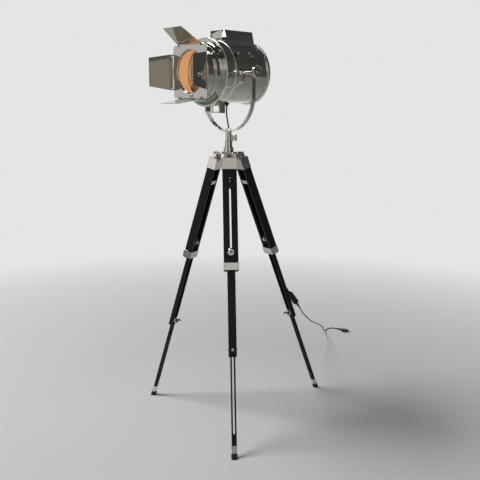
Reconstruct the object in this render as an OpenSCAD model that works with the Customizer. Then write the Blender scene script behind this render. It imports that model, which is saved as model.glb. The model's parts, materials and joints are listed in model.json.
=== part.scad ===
// Tripod spotlight floor lamp: a drum spotlight with a four-leaf barn door, in a
// flat-bar yoke on a sliding stem, over three telescoping wooden legs.
// Millimetres, +Z up. The origin is on the floor under the stem. The head faces -Y.

/* [Legs] */
// Turn of the three legs about the stem, in degrees
leg_turn = -10; // [-20:1:20]
// Distance of leg 1's foot from the stem's axis
foot_reach_1 = 439; // [380:1:520]
// Distance of leg 2's foot from the stem's axis
foot_reach_2 = 505; // [380:1:520]
// Distance of leg 3's foot from the stem's axis
foot_reach_3 = 412; // [380:1:520]
// Height of the legs' pivots
pivot_h = 1133; // [1105:1:1160]
// Distance of the legs' pivots from the stem's axis
pivot_r = 56; // [54:1:58]
// Width of the upper channel
upper_w = 58; // [54:1:60]
// Thickness of the upper channel
upper_t = 35; // [33:1:37]
// Thickness of the upper channel's outer wall
upper_web = 10; // [8:0.5:12]
// Thickness of the upper channel's side walls
upper_flange = 12; // [9:0.5:13]
// Station of the upper channel's lower end, down the leg from its pivot
upper_end = 466; // [440:1:480]
// Width of the middle bar
middle_w = 32; // [30:0.5:33]
// Thickness of the middle bar
middle_t = 19; // [18:0.5:20]
// Station of the middle bar's lower end
middle_end = 805; // [780:1:830]
// Length of the middle bar
middle_len = 433; // [410:1:440]
// Travel of the middle bar in the channel
middle_travel = 260; // [200:5:265]
// Width of the lower bar
lower_w = 20; // [18:0.5:21]
// Thickness of the lower bar
lower_t = 12; // [11:0.5:13]
// Width of the slots in the channel and in the lower bar
slot_w = 7; // [6.6:0.1:8]
// Diameter of the locking and wing bolts
bolt_d = 6; // [5:0.1:6.4]
// Diameter of the rubber feet
foot_d = 25; // [22:0.5:28]

/* [Leg fittings] */
// Height of the metal cap at the top of each leg
cap_h = 48; // [40:1:60]
// Wall of the metal cap
cap_wall = 1.75; // [1:0.25:3]
// Width of the cap's pivot lug
lug_w = 16; // [12:0.5:18]
// Thickness of each ear of the hub's clevises
ear_t = 13; // [9:0.5:14]
// Diameter of the leg pivot bolts
pivot_bolt_d = 8; // [6:0.5:9]
// Height of the clamping band
band_h = 30; // [20:1:34]
// Wall of the clamping band
band_wall = 1.75; // [1:0.25:2.25]
// Diameter of the locking bolt's round knob
lock_knob_d = 28.7; // [22:0.1:32]
// Station of the locking bolt
lock_at = 390; // [387:1:393]

/* [Hub and stem] */
// Diameter of the hub's plate
hub_d = 130; // [124:1:140]
// Thickness of the hub's plate
hub_t = 8; // [6:0.5:12]
// Height of the hub plate's underside above the legs' pivots
hub_rise = 18; // [15:1:37]
// Diameter of the hub's lower collar
low_collar_d = 42; // [38:0.5:50]
// Height of the hub's lower collar
low_collar_h = 16.7; // [12:0.1:24]
// Diameter of the upper collar
top_collar_d = 31.5; // [30:0.5:37]
// Height of the upper collar
top_collar_h = 24.8; // [20:0.1:25]
// Outer diameter of the stem's tube
stem_d = 25; // [22:0.5:26]
// Wall of the stem's tube
stem_wall = 2.5; // [1.5:0.25:4]
// Height of the stem's shoulder, where the yoke sits, above the legs' pivots
stem_rise = 105; // [103:1:111]
// Length of the stem's tube
stem_len = 238; // [200:1:260]
// Outer diameter of the hollow nipple
nipple_d = 13; // [11:0.5:14]
// Direction of the thumb screw about the stem, in degrees
thumb_turn = 46; // [40:1:60]
// Diameter of the thumb screw's knob
thumb_d = 26; // [20:1:28]

/* [Yoke] */
// Distance from the stem's axis to the middle of each yoke arm
yoke_half = 146.6; // [142:0.2:152]
// Width of the yoke's flat bar
yoke_w = 20; // [16:1:26]
// Thickness of the yoke's flat bar
yoke_t = 4.5; // [4:0.25:6]
// Height of the head's pivot above the stem's shoulder
head_rise = 236.5; // [227:0.5:247]
// Diameter of the yoke's pivot bolts
tilt_bolt_d = 10; // [8:0.5:12]
// Diameter of the lever knob's disc
lever_knob_d = 50; // [40:1:56]
// Length of the lever, from the knob's axis to its tip
lever_len = 95; // [80:1:110]
// Diameter of the far knob
far_knob_d = 38; // [30:1:46]

/* [Head] */
// Outer radius of the drum
drum_r = 119.5; // [116:0.5:121]
// Wall of the drum
drum_wall = 2; // [1.5:0.25:3]
// Distance from the pivot to the drum's front edge
drum_front = 70; // [66:1:71]
// Distance from the pivot to the drum's rear edge
drum_rear = 112; // [106:1:118]
// Outer radius of the rear cap's rim
rear_rim_r = 125; // [122:0.5:130]
// Radius of the flange cone at its back bead
flange_back_r = 125; // [123:0.5:128]
// Radius of the flange cone at its front rim
flange_front_r = 133.5; // [131:0.5:136]
// Distance from the pivot to the flange's front rim
flange_front = 126; // [122:0.5:130]
// Thickness of the glass
glass_t = 4; // [3:0.5:5]
// Outer radius of the lens collar
sleeve_r = 113; // [111.5:0.5:115]
// Distance from the pivot to the lens collar's front edge
sleeve_front = 168; // [164:0.5:174]
// Half width of the chimney's roof
chimney_top_half = 40; // [36:1:46]
// Half width of the chimney where it meets the drum
chimney_foot_half = 56; // [50:1:62]
// Height of the chimney's roof above the pivot
chimney_top = 165.5; // [155:0.5:175]
// Radius of the bulb's globe
bulb_r = 40; // [30:1:48]
// Half width of the bracket below the flange
bracket_half = 45; // [38:1:52]
// Depth of the bracket's underside below the pivot
bracket_drop = 159; // [150:1:170]

/* [Barn door] */
// Width and height of the square plate
plate_w = 203; // [198:1:220]
// Thickness of the plate
plate_t = 2; // [1.5:0.25:3]
// Distance from the pivot to the plate's front
plate_front = 203; // [198:1:208]
// Corner radius of the plate
plate_corner_r = 12; // [6:1:18]
// Outer radius of the plate's tube
tube_r = 108; // [104:0.5:109]
// Wall of the plate's tube
tube_wall = 2; // [1.5:0.25:2.5]
// Radius of the plate's opening
opening_r = 84; // [76:1:90]
// Length of the leaves
leaf_len = 98; // [80:1:110]
// Half width of a leaf near its hinge
leaf_root_half = 70; // [66:1:71]
// Half width of a leaf at its free edge
leaf_tip_half = 55; // [45:1:62]
// Thickness of a leaf
leaf_t = 1.5; // [1:0.25:2]
// Diameter of the hinge rods
rod_d = 3; // [2.5:0.25:4]
// Outward lean of the two side leaves, in degrees
side_leaf_lean = 18; // [0:1:60]
// Outward lean of the top leaf, in degrees
top_leaf_lean = 34; // [0:1:60]
// Outward lean of the bottom leaf, in degrees
bottom_leaf_lean = 10.5; // [0:0.5:60]

/* [Cords] */
// Diameter of the cords
cord_d = 6; // [5:0.25:6]
// Length of the inline switch
switch_len = 75; // [60:1:80]
// Width of the inline switch
switch_w = 25; // [20:1:28]
// Thickness of the inline switch
switch_t = 20; // [16:1:22]

/* [Hidden] */
$fn = 96;
// Small gaps: a shaft in its bore, a bar in its channel, sheet beside sheet
run_gap = 0.05;
slide_gap = 0.5;
sheet_gap = 0.5;

wood = [0.07, 0.065, 0.06];
nickel = [0.78, 0.77, 0.74];
black = [0.05, 0.05, 0.05];

// ---- Legs: a leg's own frame has z = 0 at its pivot, -z down the leg,
// ---- +x towards the leg's outer face and y across its width
foot_reach = [foot_reach_1, foot_reach_2, foot_reach_3];
leg_angle = [for (i = [0:2]) -30 + 120 * i + leg_turn];
spread = [for (i = [0:2]) atan((foot_reach[i] - pivot_r) / pivot_h)];
leg_len = [for (i = [0:2]) pivot_h / cos(spread[i])];
lug_r = 9;
cap_top = 2;
cap_lid = 14;
upper_start = cap_top + cap_lid;
channel_w = upper_w - 2 * upper_flange;
web_in = upper_t / 2 - upper_web;
middle_out = web_in - slide_gap;
middle_in = middle_out - middle_t;
middle_start = middle_end - middle_len;
groove_floor = middle_in + lower_t + slide_gap;
groove_w = lower_w + 1;
groove_start = lock_at + 20;
wing_at = middle_end - 28;
lower_start = wing_at - 17;
shoe_h = 29;
foot_h = 22;
shoe_wall = 1.5;
band_at = upper_end - 19;
washer_r = 12.5;
washer_t = 1.5;
screw_stations = [87, 100];
small_screw_r = 2.5;
small_screw_deep = 7;
spacer_at = 102;
spacer_h = 16;
lower_slot_end = 94;
foot_taper = 4;
clip_stations = [130, 230, 340, 424];
clip_h = 8;
clip_half = 6;
clip_leg = 1;
clip_bore_y = upper_w / 2 + 6;

// ---- Hub and stem
hub_z = pivot_h + hub_rise;
stem_top = pivot_h + stem_rise;
hub_top = hub_z + hub_t;
low_collar_top = hub_top + low_collar_h;
top_collar_top = low_collar_top + top_collar_h;
hub_boss_r = stem_d / 2 + 8;
hub_boss_h = 21;
thumb_z = top_collar_top + 13.5;
thumb_bolt_r = 3;
thumb_boss_out = stem_d / 2 + 8.5;
nipple_bore_r = cord_d / 2 + 1;
nut_h = 9;
nut_r = 13;
strap_gap = 0.75;
bolt_head_r = pivot_bolt_d / 2 + 2.5;
bolt_head_t = 4;
gland_at = [-33.3, 41.4];
hub_gland_h = 10;

// ---- Yoke
head_z = stem_top + head_rise;
arc_z = stem_top + yoke_t / 2 + yoke_half;
arm_in = yoke_half - yoke_t / 2;
arm_out = yoke_half + yoke_t / 2;
boss_r = 14;
knob_neck = 11;
knob_disc_t = 11;
lever_drop = 5;
lever_ball_r = 7;

// ---- Head: the head's own frame has its origin at the pivot, +z forward, +y up
cap_back_t = 3;
cap_lid_t = 7;
cap_lap = 7;
flange_start = drum_front - 8;
flange_back = drum_front + 3;
flange_wall = 2;
rim_t = 2;
rim_in_r = flange_front_r - 6.5;
rim_screw_s = flange_front - 8;
glass_r = flange_front_r - 4;
bead_r = 2;
tab_angles = [20, 110, 200, 290];
tab_w = 12;
sleeve_wall = 2;
guide_t = 6;
guide_back = flange_front + 12;
tube_back = guide_back - 5;
lip_t = 3;
reflector_r = 95;
reflector_mouth_r = 85;
reflector_s = -20;
holder_r = 20;
holder_front = -52;
bulb_base_r = 13;
screw_r = 4;
strip_screws = [[40, 34], [-22, 36], [-34, 30], [-98, 29]];
low_screws = [34.5, -44.6];
chimney_wall = 2;
chimney_back = -96;
chimney_front = 60;
chimney_foot_y = 100;
chimney_knob_y = 132;
vent_low = 25.5;
vent_high = 38.5;
vent_back = -104;
vent_front = 54;
vent_gap = 3.5;
vent_t = 2;
vent_slot_w = 14;
vent_pitch = 46;
head_gland_at = 10;
head_gland_h = 12;
bracket_wall = 2;
bracket_front = 90;
bracket_back = 60;

// ---- Barn door
hinge_out = 3;
hinge_fwd = 4;
hinge_at = plate_w / 2 + hinge_out;
hinge_z = plate_front + hinge_fwd;
hinge_half = 69;
curl_half = 60;
curl_r = rod_d / 2 + 1.25;
bracket_w = 6;
mouth_deep = 11;

// ---- Cords: points chosen by hand along each cord's centre line
head_lead_route = [for (p = [[0, -10, 105], [0, -11, 87], [0, -10, 67], [0, -6, 47], [0, -2, 30],
    [0, 0, 18], [0, 0, 12]]) p + [0, 0, stem_top]];
leg_lead_route = [for (p = [[-33, 41, 8], [-34, 43, -8], [-34, 52, -25], [-31, 66, -41], [-26, 78, -56],
    [-20, 87, -68], [-16, 108, -121], [-10, 145, -214], [-3, 185, -316], [3, 216.5, -396.5]]) p + [0, 0, pivot_h]];
cord_top_route = [[3, 217, 735], [4, 225, 716], [6, 236, 692], [8, 250, 666], [10, 265, 640], [14, 289, 600],
    [18, 314, 560], [20, 335, 524], [22, 352, 497], [22, 358, 487]];
cord_floor_route = [[33, 405, 426], [35, 414, 414], [33, 424, 404], [24, 440, 392], [8, 463, 378],
    [-14, 494, 359], [-31, 520, 343], [-62, 571, 314], [-95, 626, 283], [-132, 686, 251], [-171, 750, 218],
    [-211, 822, 185], [-252, 897, 153], [-284, 960, 122], [-314, 1021, 88], [-346, 1066, 60],
    [-373, 1104, 38], [-396, 1138, 22], [-416, 1168, 11], [-432, 1198, 5], [-440, 1222, 3],
    [-437, 1246, 3], [-420, 1260, 4], [-398, 1264, 6], [-384, 1263, 7], [-372, 1262, 7.5]];
switch_mid = (cord_top_route[len(cord_top_route) - 1] + cord_floor_route[0]) / 2;
switch_span = norm(cord_floor_route[0] - cord_top_route[len(cord_top_route) - 1]);
switch_way = unit(cord_floor_route[0] - cord_top_route[len(cord_top_route) - 1]);
rocker_len = 22;
rocker_w = 11;
rocker_deep = 7;
plug_at = cord_floor_route[len(cord_floor_route) - 1];
plug_len = 50;
plug_neck = 12;
plug_w = 28;
plug_t = 15;
pin_d = 4;
pin_gap = 19;
pin_len = 19;
cord_sides = 8;

LEG_PARTS = ["cap", "upper", "band", "middle", "lock", "wing", "lower", "shoe", "foot"];
LEG_NODES = [for (i = [0:2]) for (part = LEG_PARTS) str("leg_", i + 1, "_", part)];

// ---------------------------------------------------------------- helpers

// Puts a child made in leg i's own frame in its place
module on_leg(i) {
    rotate([0, 0, leg_angle[i]]) translate([pivot_r, 0, pivot_h]) rotate([0, -spread[i], 0]) children();
}

// A box from station t0 to t1, from x0 to x1 and y0 to y1
module bar(t0, t1, x0, x1, y0, y1) {
    translate([x0, y0, -t1]) cube([x1 - x0, y1 - y0, t1 - t0]);
}

// A cylinder along the leg's x axis at station t, from x0 to x1
module cross(t, x0, x1, r) {
    translate([x0, 0, -t]) rotate([0, 90, 0]) cylinder(r = r, h = x1 - x0);
}

// A slot with round ends, cut through from x0 to x1 between the stations t0 and t1
module long_slot(t0, t1, x0, x1, w) {
    translate([x0, 0, -t1 + w / 2]) rotate([90, 0, 90]) linear_extrude(x1 - x0) {
        translate([-w / 2, 0]) square([w, t1 - t0 - w]);
        circle(r = w / 2);
        translate([0, t1 - t0 - w]) circle(r = w / 2);
    }
}

// Puts a child made in the head's own frame in its place
module on_head() {
    translate([0, 0, head_z]) rotate([90, 0, 0]) children();
}

// A ring between two radii, from z0 to z1
module ring(r_out, r_in, z0, z1) {
    translate([0, 0, z0]) difference() {
        cylinder(r = r_out, h = z1 - z0);
        translate([0, 0, -1]) cylinder(r = r_in, h = z1 - z0 + 2);
    }
}

// Unit vector, and a ring of points about a route's point
function unit(v) = v / norm(v);
function way(p, i) = unit(p[min(i + 1, len(p) - 1)] - p[max(i - 1, 0)]);
function side(d) = unit(cross(d, abs(d[2]) < 0.9 ? [0, 0, 1] : [1, 0, 0]));
function ring_points(c, d, r, n) = let (u = side(d), v = cross(d, u))
    [for (k = [0:n - 1]) c + r * cos(360 * k / n) * u + r * sin(360 * k / n) * v];

// A point on a smooth curve through p, between point i and point i + 1
function smooth(p, i, t) = let (a = p[max(i - 1, 0)], b = p[i], c = p[i + 1], d = p[min(i + 2, len(p) - 1)])
    0.5 * (2 * b + t * (c - a) + t * t * (2 * a - 5 * b + 4 * c - d) + t * t * t * (3 * b - 3 * c + d - a));
function smooth_route(p, steps) = concat(
    [for (i = [0:len(p) - 2]) for (k = [0:steps - 1]) smooth(p, i, k / steps)], [p[len(p) - 1]]);

// A tube along a route
module cord_tube(route, steps = 2) {
    p = smooth_route(route, steps);
    n = cord_sides;
    m = len(p);
    points = [for (i = [0:m - 1]) each ring_points(p[i], way(p, i), cord_d / 2, n)];
    walls = [for (i = [0:m - 2]) for (k = [0:n - 1])
        [i * n + k, i * n + (k + 1) % n, (i + 1) * n + (k + 1) % n, (i + 1) * n + k]];
    start = [for (k = [n - 1:-1:0]) k];
    end = [for (k = [0:n - 1]) (m - 1) * n + k];
    polyhedron(points, concat([start], walls, [end]));
}

// ---------------------------------------------------------------- legs

// Metal cap with its pivot lug; the hub's ears reach into two scoops beside the lug
module leg_cap(i) {
    wall = cap_wall;
    ear_room = sheet_gap + ear_t + bolt_head_t + 1;
    color(nickel) on_leg(i) difference() {
        union() {
            bar(cap_top, cap_top + cap_h, -upper_t / 2 - wall, upper_t / 2 + wall,
                -upper_w / 2 - wall, upper_w / 2 + wall);
            bar(0, cap_top + 1, -lug_r, lug_r, -lug_w / 2, lug_w / 2);
            rotate([90, 0, 0]) cylinder(r = lug_r, h = lug_w, center = true);
        }
        bar(upper_start, cap_top + cap_h + 1, -upper_t / 2, upper_t / 2, -upper_w / 2, upper_w / 2);
        for (s = [-1, 1]) translate([0, s * (lug_w + ear_room) / 2, 0]) rotate([90, 0, 0])
            cylinder(r = lug_r + 1.5, h = ear_room, center = true);
        rotate([90, 0, 0]) cylinder(r = pivot_bolt_d / 2 + run_gap, h = lug_w + 2, center = true);
    }
}

// Wooden channel, open towards the inside of the tripod, with the locking bolt's slot
module leg_upper(i) {
    color(wood) on_leg(i) difference() {
        bar(upper_start, upper_end, -upper_t / 2, upper_t / 2, -upper_w / 2, upper_w / 2);
        bar(upper_start - 1, upper_end + 1, -upper_t / 2 - 1, web_in, -channel_w / 2, channel_w / 2);
        long_slot(lock_at - middle_travel - slot_w / 2, lock_at + slot_w / 2, web_in - 1, upper_t / 2 + 1, slot_w);
        for (t = screw_stations) cross(t, upper_t / 2 - small_screw_deep, upper_t / 2 + 1, small_screw_r / 2);
    }
}

// Clamping band, spacer plate, small screws and, on one leg, the cord's clips
module leg_band(i) {
    half_t = upper_t / 2;
    half_w = upper_w / 2;
    color(nickel) on_leg(i) {
        difference() {
            bar(band_at - band_h / 2, band_at + band_h / 2, -half_t - band_wall, half_t + band_wall,
                -half_w - band_wall, half_w + band_wall);
            bar(band_at - band_h, band_at + band_h, -half_t, half_t, -half_w, half_w);
        }
        bar(spacer_at, spacer_at + spacer_h, -half_t, middle_in - slide_gap, -channel_w / 2, channel_w / 2);
        for (t = screw_stations) {
            cross(t, half_t - small_screw_deep, half_t, small_screw_r / 2);
            cross(t, half_t, half_t + 1.5, small_screw_r);
        }
        if (i == clip_leg) for (t = clip_stations) difference() {
            bar(t - clip_h / 2, t + clip_h / 2, -clip_half, clip_half, half_w, clip_bore_y + cord_d / 2 + 2);
            translate([0, clip_bore_y, -t - clip_h]) cylinder(r = cord_d / 2 + 0.75, h = 2 * clip_h);
        }
    }
}

// Middle bar: slides in the channel, and its groove holds the lower bar
module leg_middle(i) {
    color(wood) on_leg(i) difference() {
        bar(middle_start, middle_end, middle_in, middle_out, -middle_w / 2, middle_w / 2);
        bar(groove_start, middle_end + 1, middle_in - 1, groove_floor, -groove_w / 2, groove_w / 2);
        cross(lock_at, middle_in - 1, middle_out + 1, bolt_d / 2 + run_gap);
        cross(wing_at, middle_in - 1, middle_out + 1, bolt_d / 2 + run_gap);
    }
}

// Locking bolt with its round knob outside the channel and its nut inside
module leg_lock(i) {
    face = upper_t / 2 + slide_gap;
    back = middle_in - sheet_gap;
    color(nickel) on_leg(i) {
        cross(lock_at, back, face, bolt_d / 2);
        cross(lock_at, face, face + washer_t, lock_knob_d / 2 - 3);
        cross(lock_at, face + washer_t, face + washer_t + 5, lock_knob_d / 2);
        translate([face + washer_t + 5, 0, -lock_at]) rotate([0, 90, 0])
            cylinder(r1 = lock_knob_d / 2, r2 = lock_knob_d / 2 - 4, h = 3);
        cross(lock_at, back - washer_t, back, 9);
        translate([back - washer_t - 6, 0, -lock_at]) rotate([0, 90, 0]) cylinder(r = 7.5, h = 6, $fn = 6);
    }
}

// Wing bolt: clamps the lower bar in the middle bar's groove
module leg_wing(i) {
    back = middle_in - sheet_gap;
    color(nickel) on_leg(i) {
        cross(wing_at, back, middle_out + sheet_gap, bolt_d / 2);
        cross(wing_at, middle_out + sheet_gap, middle_out + sheet_gap + 2.5, bolt_d / 2 + 2.5);
        cross(wing_at, back - washer_t, back, washer_r);
        cross(wing_at, back - washer_t - 12, back - washer_t, 6.5);
        for (s = [-1, 1]) translate([back - washer_t - 13, s * 12, -wing_at])
            cylinder(r = 8.5, h = 4, center = true);
        translate([back - washer_t - 11, 0, -wing_at]) cube([6, 24, 4], center = true);
    }
}

// Lower bar with its long slot, and a reduced end for the shoe
module leg_lower(i) {
    end = leg_len[i] - foot_h - shoe_h;
    x1 = middle_in + lower_t;
    color(wood) on_leg(i) difference() {
        union() {
            bar(lower_start, end, middle_in, x1, -lower_w / 2, lower_w / 2);
            bar(end - 1, end + shoe_h - 4, middle_in + 1, x1 - 1, -lower_w / 2 + 1, lower_w / 2 - 1);
        }
        long_slot(wing_at - slot_w / 2, leg_len[i] - lower_slot_end, middle_in - 1, x1 + 1, slot_w);
    }
}

// Metal shoe around the lower bar's end
module leg_shoe(i) {
    start = leg_len[i] - foot_h - shoe_h;
    x1 = middle_in + lower_t;
    color(nickel) on_leg(i) difference() {
        bar(start, start + shoe_h, middle_in - 0.75, x1 + 0.75, -lower_w / 2 - 0.5, lower_w / 2 + 0.5);
        bar(start - 1, start + shoe_h - 4, middle_in + 1, x1 - 1, -lower_w / 2 + 1, lower_w / 2 - 1);
    }
}

// Rubber foot, cut level with the floor
module leg_foot(i) {
    top = leg_len[i] - foot_h;
    color(black) difference() {
        on_leg(i) translate([middle_in + lower_t / 2, 0, -top]) {
            translate([0, 0, -foot_taper]) cylinder(r1 = foot_d / 2, r2 = foot_d / 2 - 3, h = foot_taper);
            translate([0, 0, -foot_h - foot_d]) cylinder(r = foot_d / 2, h = foot_h + foot_d - foot_taper);
        }
        translate([-600, -600, -200]) cube([1200, 1200, 200]);
    }
}

// ---------------------------------------------------------------- hub and stem

// Cast hub: plate, clevis ears for the legs, lower collar and the leg lead's gland
module hub() {
    ear_in = lug_w / 2 + sheet_gap;
    color(nickel) difference() {
        union() {
            translate([0, 0, hub_z]) cylinder(r = hub_d / 2, h = hub_t - 2);
            translate([0, 0, hub_top - 2]) cylinder(r1 = hub_d / 2, r2 = hub_d / 2 - 2, h = 2);
            translate([0, 0, hub_z - hub_boss_h]) cylinder(r = hub_boss_r, h = hub_boss_h);
            translate([0, 0, hub_top]) cylinder(r = low_collar_d / 2, h = low_collar_h);
            translate([gland_at[0], gland_at[1], hub_z - hub_gland_h]) cylinder(r = cord_d / 2 + 4, h = hub_gland_h);
            for (a = leg_angle) rotate([0, 0, a]) translate([pivot_r, 0, 0]) for (s = [-1, 1]) {
                y0 = s > 0 ? ear_in : -ear_in - ear_t;
                translate([-lug_r, y0, pivot_h]) cube([2 * lug_r, ear_t, hub_z - pivot_h]);
                translate([0, y0 + ear_t, pivot_h]) rotate([90, 0, 0]) cylinder(r = lug_r, h = ear_t);
            }
        }
        translate([0, 0, hub_z - hub_boss_h - 1]) cylinder(r = stem_d / 2 + run_gap, h = 200);
        translate([gland_at[0], gland_at[1], hub_z - hub_gland_h - 1])
            cylinder(r = cord_d / 2 + 0.5, h = hub_gland_h + hub_t - 1);
        for (a = leg_angle) rotate([0, 0, a]) translate([pivot_r, 0, pivot_h]) rotate([90, 0, 0])
            cylinder(r = pivot_bolt_d / 2 + run_gap, h = lug_w + 2 * ear_t + 4, center = true);
    }
}

// Upper collar with the boss that the thumb screw goes through
module hub_collar() {
    color(nickel) difference() {
        union() {
            translate([0, 0, low_collar_top]) cylinder(r = top_collar_d / 2, h = top_collar_h);
            rotate([0, 0, thumb_turn]) translate([0, -7, top_collar_top - 1])
                cube([thumb_boss_out, 14, thumb_z + 12 - top_collar_top]);
        }
        translate([0, 0, low_collar_top - 1]) cylinder(r = stem_d / 2 + run_gap, h = top_collar_h + 60);
        rotate([0, 0, thumb_turn]) translate([0, 0, thumb_z]) rotate([0, 90, 0])
            cylinder(r = thumb_bolt_r + run_gap, h = thumb_boss_out + 5);
    }
}

// Thumb screw that clamps the stem
module thumb_screw() {
    tip = stem_d / 2 + 0.3;
    knob_at = thumb_boss_out + 1;
    color(nickel) rotate([0, 0, thumb_turn]) translate([0, 0, thumb_z]) rotate([0, 90, 0]) {
        translate([0, 0, tip]) cylinder(r = thumb_bolt_r, h = knob_at - tip);
        translate([0, 0, knob_at]) cylinder(r = thumb_bolt_r + 3, h = 4);
        translate([0, 0, knob_at + 4]) cylinder(r = thumb_d / 2, h = 7);
        translate([0, 0, knob_at + 11]) cylinder(r1 = thumb_d / 2, r2 = thumb_d / 2 - 2, h = 2);
    }
}

// The three bolts that the legs fold on
module pivot_bolts() {
    half = lug_w / 2 + sheet_gap + ear_t;
    color(nickel) for (a = leg_angle) rotate([0, 0, a]) translate([pivot_r, 0, pivot_h]) rotate([90, 0, 0]) {
        cylinder(r = pivot_bolt_d / 2, h = 2 * half, center = true);
        translate([0, 0, half]) cylinder(r = bolt_head_r, h = bolt_head_t);
        translate([0, 0, -half - bolt_head_t]) cylinder(r = bolt_head_r, h = bolt_head_t, $fn = 6);
    }
}

// Stem tube with the hollow nipple at its top, and the nut above the yoke
module stem() {
    nut_z = stem_top + yoke_t + strap_gap;
    color(nickel) {
        difference() {
            union() {
                translate([0, 0, stem_top - stem_len]) cylinder(r = stem_d / 2, h = stem_len);
                cylinder_at(stem_top - 1, nipple_d / 2, nut_z + nut_h + 2 - stem_top + 1);
            }
            translate([0, 0, stem_top - stem_len - 1]) cylinder(r = stem_d / 2 - stem_wall, h = stem_len - 11);
            cylinder_at(stem_top - 20, nipple_bore_r, 60);
        }
        difference() {
            translate([0, 0, nut_z]) cylinder(r = nut_r, h = nut_h, $fn = 6);
            cylinder_at(nut_z - 1, nipple_d / 2, nut_h + 2);
        }
    }
}

// A cylinder about the stem's axis, from height z
module cylinder_at(z, r, h) {
    translate([0, 0, z]) cylinder(r = r, h = h);
}

// ---------------------------------------------------------------- yoke

// Flat bar bent to a U, with a bore for the nipple and one for each pivot bolt
module yoke() {
    color(nickel) difference() {
        union() {
            difference() {
                translate([0, 0, arc_z]) rotate([90, 0, 0]) ring(arm_out, arm_in, -yoke_w / 2, yoke_w / 2);
                translate([-200, -200, arc_z]) cube([400, 400, 200]);
            }
            for (s = [-1, 1]) {
                x0 = s > 0 ? arm_in : -arm_out;
                translate([x0, -yoke_w / 2, arc_z - 0.01]) cube([yoke_t, yoke_w, head_z - arc_z + 0.01]);
                translate([x0, 0, head_z]) rotate([0, 90, 0]) cylinder(r = yoke_w / 2 + 1, h = yoke_t);
            }
            cylinder_at(stem_top, boss_r, yoke_t);
        }
        cylinder_at(stem_top - 1, nipple_d / 2 + run_gap, yoke_t + 3);
        translate([-arm_out - 1, 0, head_z]) rotate([0, 90, 0])
            cylinder(r = tilt_bolt_d / 2 + run_gap, h = 2 * arm_out + 2);
    }
}

// Bolt, neck and disc of a pivot knob, along +z from the drum's side
module knob_body(disc_r) {
    face = arm_out + sheet_gap;
    translate([0, 0, drum_r]) cylinder(r = tilt_bolt_d / 2, h = face - drum_r);
    translate([0, 0, face]) cylinder(r = tilt_bolt_d / 2 + 6, h = knob_neck);
    translate([0, 0, face + knob_neck]) cylinder(r = disc_r, h = knob_disc_t - 2);
    translate([0, 0, face + knob_neck + knob_disc_t - 2]) cylinder(r1 = disc_r, r2 = disc_r - 2, h = 2);
}

// Knob with a long lever, on the head's right side
module lever_knob() {
    lever_x = arm_out + sheet_gap + knob_neck + knob_disc_t / 2;
    reach = lever_len - lever_ball_r;
    color(nickel) translate([0, 0, head_z]) {
        rotate([0, 90, 0]) knob_body(lever_knob_d / 2);
        translate([lever_x, 0, 0]) rotate([90 + lever_drop, 0, 0]) {
            cylinder(r1 = 5.5, r2 = 4.5, h = reach);
            translate([0, 0, reach]) sphere(r = lever_ball_r);
        }
    }
}

// Round knob on the head's left side
module far_knob() {
    color(nickel) translate([0, 0, head_z]) rotate([0, -90, 0]) knob_body(far_knob_d / 2);
}

// ---------------------------------------------------------------- head

// Puts a child that lies along +z, such as a screw, at an angle around the head's axis
module around(angle, s) {
    translate([0, 0, s]) rotate([0, 0, angle]) rotate([0, 90, 0]) children();
}

// Drum with its two pivot bosses and its openings
module drum() {
    inner = drum_r - drum_wall;
    boss_end = arm_in - sheet_gap;
    color(nickel) on_head() difference() {
        union() {
            ring(drum_r, inner, -drum_rear, drum_front);
            difference() {
                for (a = [0, 180]) around(a, 0) translate([0, 0, inner - 2]) cylinder(r = boss_r, h = boss_end - inner + 2);
                translate([0, 0, -boss_r - 5]) cylinder(r = inner, h = 2 * boss_r + 10);
            }
        }
        for (a = [0, 180]) around(a, 0) translate([0, 0, drum_r]) cylinder(r = tilt_bolt_d / 2 + run_gap, h = boss_end);
        around(-90, head_gland_at) translate([0, 0, inner - 2]) cylinder(r = cord_d / 2 + 3, h = drum_wall + 4);
        translate([-chimney_top_half + 6, inner - 25, chimney_back + 10])
            cube([2 * chimney_top_half - 12, 40, chimney_front - chimney_back - 20]);
        for (m = [0, 1]) mirror([m, 0, 0]) rotate([0, 0, (vent_low + vent_high) / 2]) for (k = [0:2])
            translate([inner - 3, -vent_slot_w / 2, vent_back + 12 + k * vent_pitch])
                cube([10, vent_slot_w, vent_pitch - 10]);
    }
}

// Solid of the flange's outside, from the drum to the front rim
module flange_body() {
    rotate_extrude() polygon([[0, flange_start], [drum_r + flange_wall, flange_start],
        [drum_r + flange_wall, drum_front], [flange_back_r, flange_back], [flange_front_r, flange_front],
        [flange_front_r, flange_front + rim_t], [0, flange_front + rim_t]]);
}

// Broad cone in front of the drum, with a bead at its back and a rim over the glass
module flange() {
    in_r = flange_front_r - flange_wall;
    color(nickel) on_head() {
        difference() {
            flange_body();
            rotate_extrude() polygon([[0, flange_start - 1], [drum_r, flange_start - 1], [drum_r, flange_back],
                [flange_back_r - flange_wall, flange_back + 2], [in_r, flange_front], [rim_in_r, flange_front],
                [rim_in_r, flange_front + rim_t + 1], [0, flange_front + rim_t + 1]]);
        }
    }
}

// Rear cap: a shallow lid whose rim laps over the drum, with a ring of slots
module rear_cap() {
    back = -drum_rear - cap_lid_t;
    color(nickel) on_head() difference() {
        union() {
            translate([0, 0, back]) cylinder(r1 = rear_rim_r - 2, r2 = rear_rim_r, h = 2);
            translate([0, 0, back + 2]) cylinder(r = rear_rim_r, h = cap_lid_t + cap_lap - 2);
        }
        translate([0, 0, -drum_rear]) cylinder(r = drum_r, h = cap_lap + 1);
        translate([0, 0, back + cap_back_t]) cylinder(r = drum_r - 6, h = cap_lid_t);
        for (k = [0:11]) rotate([0, 0, 30 * k]) translate([70, -4, back - 1]) cube([28, 8, cap_back_t + 2]);
    }
}

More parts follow.
